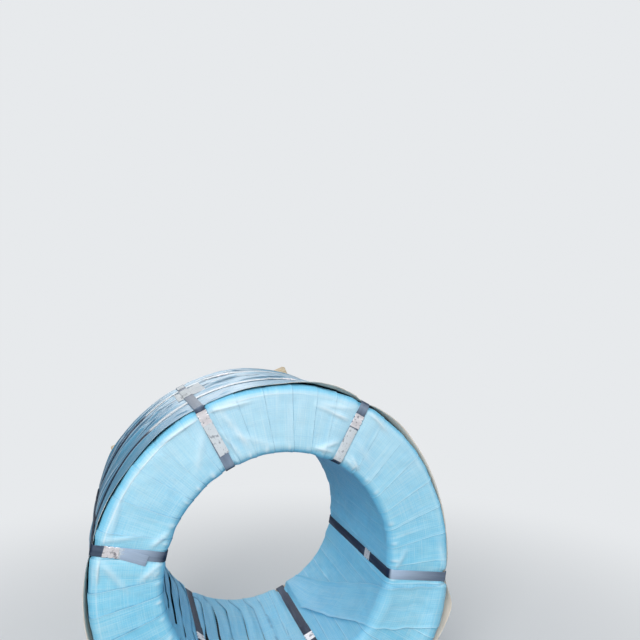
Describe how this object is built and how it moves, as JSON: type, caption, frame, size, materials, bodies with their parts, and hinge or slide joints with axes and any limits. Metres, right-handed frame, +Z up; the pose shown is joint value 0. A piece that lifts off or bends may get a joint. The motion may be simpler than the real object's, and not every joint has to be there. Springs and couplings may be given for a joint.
{
  "type": "coil of prestressing strand",
  "caption": "Hollow coil of seven-wire prestressing strand in blue woven wrap, held by steel straps, with timber skids on one face.",
  "frame": {"origin": "centre of the bore, half way along it", "axes": "+Y along the axis of the coil from the front face to the face with the skids, +X to the right seen from the front, +Z up"},
  "size_m": [1.2042, 0.6996, 1.2078],
  "materials": {
    "bare_strand": "dull drawn steel wire",
    "woven_tape": "light blue woven tape with a soft sheen",
    "cover_sheet": "blue woven sheet with a glossy coating",
    "painted_strap": "dark blue-black lacquered strapping, rubbed",
    "seal_steel": "zinc-plated, crimped",
    "timber": "rough-sawn softwood",
    "paper": "matt paper"
  },
  "bodies": {
    "root": {"strand_coil": "bare_strand", "tape_wrap": "woven_tape", "outer_cover": "cover_sheet", "label_sheet": "paper", "label_tag": "paper", "skid_board_1": "timber", "skid_board_2": "timber", "cross_strap_1": "painted_strap", "cross_seal_1": "seal_steel", "cross_strap_2": "painted_strap", "cross_seal_2": "seal_steel", "cross_strap_3": "painted_strap", "cross_seal_3": "seal_steel", "cross_strap_4": "painted_strap", "cross_seal_4": "seal_steel", "cross_strap_5": "painted_strap", "cross_seal_5": "seal_steel", "cross_strap_6": "painted_strap", "cross_seal_6": "seal_steel", "girth_strap_1": "painted_strap", "girth_seal_1": "seal_steel", "girth_strap_2": "painted_strap", "girth_seal_2": "seal_steel"}
  },
  "joints": []
}
